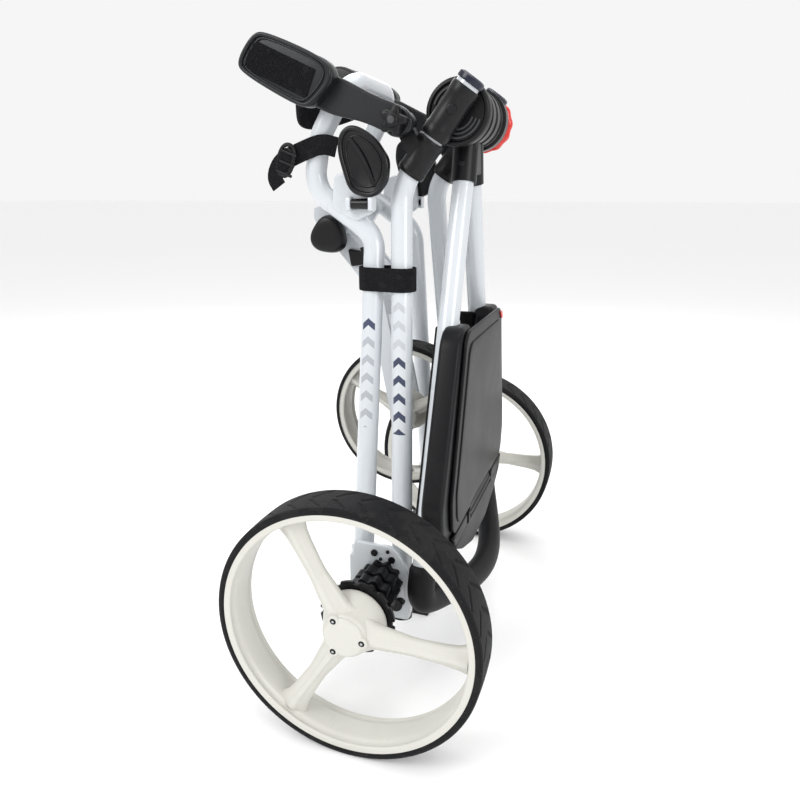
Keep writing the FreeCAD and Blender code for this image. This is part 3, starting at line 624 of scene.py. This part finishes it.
# ---- Handle hub ----
# A ribbed black barrel turns between the hinge discs.  The block under it holds both handle
# tubes with one cross screw.
barrel = np.array([(-40, 6), (-40, 31), (-38, 33), (-30, 33), (-29, 31), (-20, 31), (-19, 33),
                   (-6, 33), (-5, 31), (5, 31), (6, 33), (19, 33), (20, 31), (29, 31), (30, 33),
                   (38, 33), (40, 31), (40, 6)], float)
socket = moulding(rounded([(-17, 465), (17, 465), (24, 515), (-24, 515)], 4), 37.0, 65.0, 3.0,
                  lay=face_on)
collars = [carried(np.array([(51, out * 9.5, 507), (51, out * 18.5, 464), (51, out * 20.4, 456)],
                            float), oval(15.2, 15.2, count=48), (0, 1, 0)) for out in (-1, 1)]
piece("hub_barrel", "handle", black,
      [patch(turned(barrel, HINGE, 96)), socket, *collars], ("handle_hub",))
piece("hub_screw", "handle", black, [disc_patch((51, 0, 478), -1, 3.8, 26.0, 32.4, 1, 24)])
bolt = np.array([(-84, 0.5), (-84, 4.9), (100, 4.9), (101, 4), (101, 0.5)], float)
piece("hinge_shank", "upper_frame", zinc, [patch(turned(bolt, HINGE, 48))],
      ("hinge_bolt",))

# ---- Knobs ----
# The red hinge lock, the two five-lobed cradle knobs and the three-lobed fork knob are all
# hand-turned mouldings with soft scooped edges.
red = plastic("lock_red", (0.60, 0.012, 0.004), 0.26, 900.0, 0.00004, 0.04, Coat_Weight=0.3)


def knob(centre, out, radius, lobes, scoop, base, height, phase=0.0):
    """A round button whose edge swells into lobes, deepest at mid height."""
    profile = soften([(base, radius * 0.80), (base + height * 0.18, radius), (base + height * 0.75, radius),
                      (base + height, radius * 0.82), (base + height, radius * 0.05)], 3, closed=False)
    profile = np.vstack([[(base, 2.0)], profile]) * (out, 1)

    def scooped(angle, along, spun):
        """Shrink the radius between the lobes by a cosine of the angle."""
        return spun * (1 + scoop * (np.cos(lobes * (angle - phase)) - 1) / 2)

    return patch(turned(profile, centre, 120, scooped))


piece("lock_knob_shell", "lock_knob", red,
      [knob(HINGE, 1, 35.0, 12, 0.04, 86.5, 15.0), knob(HINGE, 1, 20.0, 6, 0.10, 98, 6)],
      ("lock_knob",))
for tag, out in (("left", -1), ("right", 1)):
    where = (-5, 0, 518)
    piece("star_shell_" + tag, "star_" + tag, black,
          [knob(where, out, 16.5, 5, 0.34, 102, 13), knob(where, out, 8.5, 1, 0, 92, 26)],
          ("star_knob_" + tag,))
    piece("star_pin_" + tag, "star_" + tag, rib_grey,
          [disc_patch(where, out, 4.0, 116, 119, 0.8, 24)])
clip = moulding(rounded([(-92, 378), (-67, 374), (-64, 360), (-88, 356)], 3), -37.0, -31.0, 1.2)
hook = moulding(rounded([(-75, 380), (-66, 382), (-62, 369), (-70, 366)], 2), -39.5, -34.0, 1.0)
piece("fork_clip", "fork", black, [clip, hook])
piece("fork_knob_shell", "fork_lock", black,
      [knob((-110, 0, 395), -1, 24.5, 3, 0.15, 43, 20, math.radians(-35)),
       knob((-110, 0, 395), -1, 13, 3, 0.1, 38, 8)], ("fork_knob",))

# ---- Bag wings ----
# Dark grey arms swing out from the star knobs to hold the golf bag.  Each ends in a long
# rounded pad with a raised edge, and webbing lies along the pad's outer face.
wing_plastic = plastic("wing_grey", (0.007, 0.0075, 0.009), 0.32, 1000.0, 0.00007, 0.012,
                       Specular_IOR_Level=0.32)
arm_line = np.array([(9, 505), (14, 519), (4, 532), (-30, 545), (-72, 566), (-110, 575),
                     (-118, 545), (-84, 528), (-44, 519), (-14, 506)], float)
pad_line = np.array([(-78, 580), (-150, 611), (-166, 611), (-187, 586), (-184, 574), (-112, 535),
                     (-98, 535), (-70, 562)], float)


def bead(outline, y, radius, count=120):
    """A round bead laid along a closed outline, seen from the side."""
    line = flowing(outline, count, True)
    line = np.column_stack([line[:, 0], np.full(count, y), line[:, 1]])
    return carried(line, oval(radius, radius, count=10), (0, 1, 0), closed=True)


def inset_line(outline, share):
    """An outline shrunk towards the mean of its points, to a share of its size."""
    middle = outline.mean(axis=0)
    return middle + (outline - middle) * share


pads = {}
for tag, out in (("left", -1), ("right", 1)):
    arm = moulding(rounded(arm_line, 14), *sorted((out * 88.3, out * 99.5)), 2.5)
    body = moulding(rounded(pad_line, 12), *sorted((out * 92.2, out * 113.0)), 5.0, (1.0, 1.0))
    edge = bead(inset_line(pad_line, 0.95), out * 113.4, 2.4)
    rib = bead(inset_line(pad_line, 0.84), out * 113.8, 1.1)
    pivot = patch(turned(np.array([(88, 5), (88, 14.5), (90, 15.5), (99, 15.5), (101, 14), (101, 5)])
                         * (out, 1), (-5, 0, 518), 64))
    lay_on = np.column_stack([np.linspace(-172, -98, 180), np.full(180, out * 113.4),
                              np.linspace(591, 557, 180)])
    pads[tag] = lay_on
    piece("wing_" + tag, "bag_cradle", wing_plastic, [arm, body, edge, rib, pivot],
          ("bag_wing_" + tag,))

# ---- Webbing ----
# Woven black polypropylene: the ribbed elastic belt between the wings, the hook-and-loop tie
# round the left tubes, and the bag strap with its ladder buckle on the hoop.
webbing = Finish("black_webbing", (0.005, 0.005, 0.006), 0.86, Specular_IOR_Level=0.1)
threads = webbing.node("TexVoronoi", {"Vector": webbing.place, "Scale": 900.0})
webbing.tint(threads.over(0.52) * 0.4, (0.022, 0.022, 0.024))
webbing.tint(webbing.noise(60.0).between(0.6, 1.0) * 0.25, (0.025, 0.025, 0.027))
webbing.bump(threads, 0.0004)


def band(path, width, thick, ribs=0, up=(0, 0, 1), closed=False):
    """A flat strap carried along a path; ribs swell its thickness along the way."""
    path = np.asarray(path, float)
    side, top = frames_along(path, np.asarray(up, float))
    run = np.linspace(0, 1, len(path))
    grow = 1 + (0.35 * np.sin(2 * math.pi * ribs * run) if ribs else 0 * run)
    section = oval(1, 1, 0.35, 20)
    grid = (path[:, None] + (section[:, 0] * thick / 2)[None, :, None] * side[:, None]
            * grow[:, None, None] + (section[:, 1] * width / 2)[None, :, None] * top[:, None])
    return patch(spot(grid[..., 0], grid[..., 1], grid[..., 2]), close=closed)


for tag, line in pads.items():
    piece("pad_web_" + tag, "bag_cradle", webbing,
          [band(line, 31, 2.6, 30, (0.45, 0, 0.89))])
belt_path = flowing([(-112, -91.4, 0), (-128, -88, 0), (-160, -24, 0), (-160, 24, 0),
                     (-128, 88, 0), (-112, 91.4, 0)], 340)
belt_path[:, 2] = 568 - 24 * (1 - (belt_path[:, 1] / 92) ** 2)
piece("belt", "bag_cradle", webbing, [band(belt_path, 42, 3.6, 48)], ("cradle_belt",))

around = np.linspace(0, 2 * math.pi, 160, endpoint=False)
near_tube, far_tube = np.array([-39.8, -83.3]), np.array([-3.3, -85.7])
heading = (far_tube - near_tube) / np.linalg.norm(far_tube - near_tube)
cross = np.array([heading[1], -heading[0]])
spacing = np.linalg.norm(far_tube - near_tube)
lengthwise = 16.2 * np.cos(around) + np.where(np.cos(around) > 0, spacing, 0)
tie_plan = near_tube + lengthwise[:, None] * heading + (16.0 * np.sin(around))[:, None] * cross
tie_path = np.column_stack([tie_plan, np.full(160, 349.0)])
tie_piece = piece("tie", "upper_frame", webbing,
                  [band(tie_path, 27.5, 1.8, closed=True)], ("tie_strap",))
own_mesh(tie_piece)

strap = flowing([(-80, -89.6, 494), (-98, -90.3, 499), (-122, -91, 491), (-146, -93, 481)], 60)
tail = flowing([(-136, -96.4, 486), (-150, -97, 478), (-158, -96.5, 462), (-152, -96, 452)], 40)
piece("bag_strap_web", "lower_frame", webbing,
      [band(strap, 22, 1.8, 20, (0.36, 0, 0.93)), band(tail, 20, 1.6, 12, (0.8, 0, -0.6))],
      ("bag_strap",))
ladder = soften([(-157, 468), (-139, 461), (-127, 494), (-145, 501)], 2)
bars = [carried(np.array([(-153 + 4 * i, -97.2, 470 + 11 * i), (-135 + 4 * i, -97.2, 463 + 11 * i)], float),
                oval(1.8, 1.8, count=14), (0, 1, 0)) for i in range(3)]
piece("ladder_buckle", "lower_frame", black,
      [bead(ladder, -95.5, 2.4, 90), moulding(inset_line(ladder, 0.8), -96.0, -93.5, 0.8), *bars],
      ("strap_buckle",))

# ---- Bag cups ----
# Glossy black cups at the foot of the bag hang on white clevises.  Each is a shallow dish
# with a rolled rim and two stiffening ribs, turning on a cross pin.
gloss = plastic("gloss_black", (0.004, 0.004, 0.005), 0.24, 900.0, 0.00003, 0.01,
                Specular_IOR_Level=0.32)
shield = np.array([(-60, 446), (-67, 466), (-74, 490), (-72, 508), (-62, 516), (-50, 514.5),
                   (-30, 503), (-14, 480), (-16, 457), (-29, 441), (-44, 441)], float)
for tag, out in (("left", -1), ("right", 1)):
    dish = moulding(rounded(shield, 8), *sorted((out * 90.4, out * 98.5)), 2.5,
                    (0.0, -4.0) if out > 0 else (-4.0, 0.0))
    rolled = bead(inset_line(shield, 0.94), out * 99.0, 2.8)
    spine = flowing([(-62, out * 97, 504), (-46, out * 96, 484), (-32, out * 97, 452)], 40)
    ribs = [bead(inset_line(shield, 0.72), out * 97.0, 1.3), carried(spine, oval(2.6, 1.6, 0.8, 14),
                                                                      (0, 1, 0))]
    knuckle = carried(np.array([(-60, out * 94, 433), (-40, out * 94, 433)], float),
                      oval(6, 6, count=32))
    piece("cup_" + tag, "cup_" + tag, gloss, [dish, rolled, *ribs, knuckle],
          ("bag_cup_" + tag,))
    plate_line = rounded([(-89, 429), (-85, 464), (-70, 469), (-40, 461), (-37, 425), (-58, 413)], 5)
    face = moulding(plate_line, *sorted((out * 79.6, out * 88.8)), 2.0)
    ears = [moulding(rounded([(out * 87, 425), (out * 101, 425), (out * 101, 441), (out * 87, 441)], 4),
                     x, x + 5, 1.0, lay=face_on) for x in (-66.2, -38.8)]
    piece("clevis_" + tag, "lower_frame", white, [face, *ears])
    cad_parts["cup_clevis_" + tag].data.materials.clear()
    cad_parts["cup_clevis_" + tag].data.materials.append(white.material)

# ---- Grip ----
# One bar of dense black foam bent into a shallow loop.  It narrows a little at each end,
# where it meets a white tube.
foam = plastic("grip_foam", (0.005, 0.005, 0.006), 0.5, 500.0, 0.0003, 0.01,
               Specular_IOR_Level=0.2)
right_half = [(51, 166.5, 28.4), (51, 171, 15), (51, 177, -2), (54, 171, -17), (70, 118, -31),
              (92, 36, -48)]
left_half = [(x, -y, z) for x, y, z in right_half[::-1]]
grip_path = flowing(np.array(right_half + left_half, float), 220)
ends = np.minimum(1, 0.86 + np.minimum(np.arange(220), np.arange(220)[::-1]) * 0.05)
piece("grip", "handle", foam,
      [carried(grip_path, oval(16, 16, count=48), (1, 0, 0.2), swell=ends)], ("handle_grip",))

# ---- Scorecard console ----
# A black moulded tray clipped over the handle tubes, with rounded cheeks, a lid on a low
# hinge, a round hinge boss on each cheek and a row of tee holes.
tray = plastic("console_black", (0.004, 0.004, 0.005), 0.40, 1300.0, 0.00008, 0.012,
               Specular_IOR_Level=0.18)
cheek = np.array([(58, 285), (64, 298), (98, 298), (113, 285), (180, 105), (173, 60), (151, 25),
                  (96, 25), (88, 70)], float)
for tag, out in (("left", -1), ("right", 1)):
    shell = moulding(rounded(cheek * (out, 1), 9), 50.0, 76.0, 6.0, lay=face_on)
    lip = rounded(np.array([(55, 291), (62, 291), (151, 33), (144, 33)], float) * (out, 1), 3)
    flange = moulding(lip, 31.0, 51.0, 1.5, lay=face_on)
    piece("console_cheek_" + tag, "handle", tray, [shell, flange],
          ("console_side_" + tag,))
    boss = [(-5, 12), (0, 12), (1.2, 11), (1.2, 9), (0.2, 8.4), (0.2, 7), (1.6, 6.4), (1.6, 0.4)]
    boss = np.vstack([[(-5, 0.4)], boss]) * (out, 1)
    piece("console_boss_" + tag, "handle", tray,
          [patch(turned(boss, (63, out * 171, 62), 64))])


def both_sides(half):
    """A closed outline from its right half, mirrored across the middle."""
    half = np.asarray(half, float)
    return np.vstack([half, half[::-1] * (-1, 1)])


lid_line = both_sides([(90, 294), (103, 285), (153, 105), (147, 70), (137, 59), (62, 59)])
panel = moulding(rounded(lid_line, 8), 76.5, 81.0, 1.6, (0.0, 0.0), face_on)
crest = moulding(rounded(inset_line(lid_line, 0.90), 7), 80.0, 82.6, 1.2, (0.0, 0.0), face_on)
knuckle = carried(np.array([(78, -62, 50), (78, 62, 50)], float), oval(5, 5, count=32))
leaf = moulding(rounded([(-60, 50), (60, 50), (60, 64), (-60, 64)], 2), 76.5, 81.0, 1.5, lay=face_on)
piece("console_lid_shell", "lid", tray, [panel, crest, knuckle, leaf],
      ("console_lid",))
skirt_line = both_sides([(40, 0), (96, 18), (131, 36), (136, 43)])
tab_line = np.array([(76, 40), (134, 40), (145, 57), (76, 57)], float)
floor_line = both_sides([(40, 4), (87, 14), (91, 42)])
hinge_ears = [moulding(rounded([(y, 42), (y + 8, 42), (y + 8, 57), (y, 57)], 2), 70.0, 83.0, 1.2,
                       lay=face_on) for y in (-73, 65)]
piece("console_floor", "handle", tray,
      [moulding(rounded(skirt_line, 7), 75.9, 82.0, 2.0, lay=face_on),
       *(moulding(rounded(tab_line * (out, 1), 3), 75.9, 81.6, 2.0, lay=face_on) for out in (-1, 1)),
       moulding(rounded(floor_line, 4), 50.0, 76.5, 3.0, lay=face_on), *hinge_ears],
      ("console_base",))
accent = moulding(rounded([(86, 289), (96, 289), (103, 280), (98, 277)], 2), 81.0, 83.2, 0.8,
                  lay=face_on)
piece("console_accent", "lid", red, [accent])
tees = [disc_patch((66 - i, -126 - 9 * i, 32 + 9 * i), -1, 2.4, 26, 34.5, 0.8, 20) for i in range(4)]
piece("tee_pegs", "handle", rib_grey, tees)

# ---- Parking stand ----
# A satin black foot rests on the floor between the rear wheels.  A flat leg joins it to a
# clamp round the cross tube.
foot = moulding(rounded([(-50, -150), (14, -150), (10, -142.5), (-44, -142.5)], 2.5), -16, 16, 2.0)
leg = moulding(rounded([(-34, -144), (-19, -144), (-19, -10), (-34, -10)], 3), -9, 9, 2.0)
clamp = np.array([(-15, 8), (-15, 12), (-14, 13), (14, 13), (15, 12), (15, 8)], float)
piece("stand", "lower_frame", black,
      [foot, leg, patch(turned(clamp, (-12, 0, -8), 56), close=True)], ("parking_stand",))

# ---- Remaining CAD parts ----
# The cross tube, the fork pin and the front axle are zinc plated.  The brake pedal, the bolts
# and the screws are satin black.  Each takes its finish from the pieces above.
plain = {"pivot_bolts": black, "bracket_screws": black, "cross_tube": zinc, "fork_pin": zinc,
         "front_axle": zinc, "brake_pedal": black}
for name, finish in plain.items():
    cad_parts[name].data.materials.clear()
    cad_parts[name].data.materials.append(finish.material)

# ---- Floor ----
# A plain pale sheet of matt paper lies under the wheels.  It is scenery, and no part of
# the trolley.
floor_mesh = bpy.data.meshes.new("floor")
edge_at = 60.0
floor_mesh.from_pydata([(-edge_at, -edge_at, 0), (edge_at, -edge_at, 0), (edge_at, edge_at, 0),
                        (-edge_at, edge_at, 0)], [], [(0, 1, 2, 3)])
floor = bpy.data.objects.new("floor", floor_mesh)
paper = Finish("floor_paper", (0.96, 0.96, 0.96), 0.85)
paper.tint(paper.noise(2.0) * 0.04, (0.93, 0.93, 0.93))
floor_mesh.materials.append(paper.material)
bpy.context.scene.collection.objects.link(floor)
